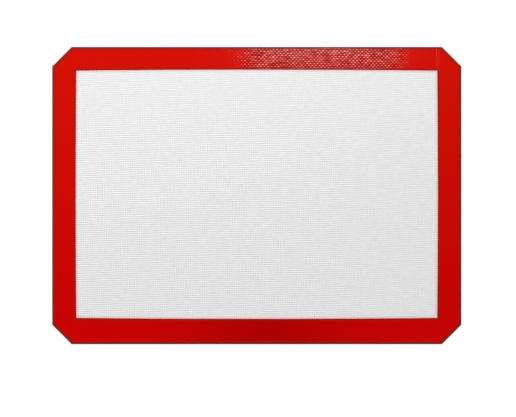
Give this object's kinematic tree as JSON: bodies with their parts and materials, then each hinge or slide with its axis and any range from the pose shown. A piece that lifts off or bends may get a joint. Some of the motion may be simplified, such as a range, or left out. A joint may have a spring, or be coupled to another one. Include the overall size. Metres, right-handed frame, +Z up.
{
  "type": "silicone baking mat",
  "caption": "Thin flat baking mat of woven glass cloth coated with silicone, with a white rectangular window, a glossy red border and corners cut at 45 degrees.",
  "frame": {"origin": "middle of the underside", "axes": "+X along the long edges, +Y towards the back edge, whose border is a little narrower than the front one, +Z up out of the work face"},
  "size_m": [0.406, 0.295, 0.0008],
  "materials": {
    "red_silicone": "gloss",
    "white_silicone": "satin",
    "glass_cloth": "satin"
  },
  "bodies": {
    "root": {"glass_cloth": "glass_cloth", "window_coat_lower": "white_silicone", "window_coat_upper": "white_silicone", "border_band_lower_left": "red_silicone", "border_band_lower_right": "red_silicone", "border_band_lower_back": "red_silicone", "border_band_lower_front": "red_silicone", "border_band_upper_left": "red_silicone", "border_band_upper_right": "red_silicone", "border_band_upper_back": "red_silicone", "border_band_upper_front": "red_silicone", "edge_seal": "red_silicone"}
  },
  "joints": []
}
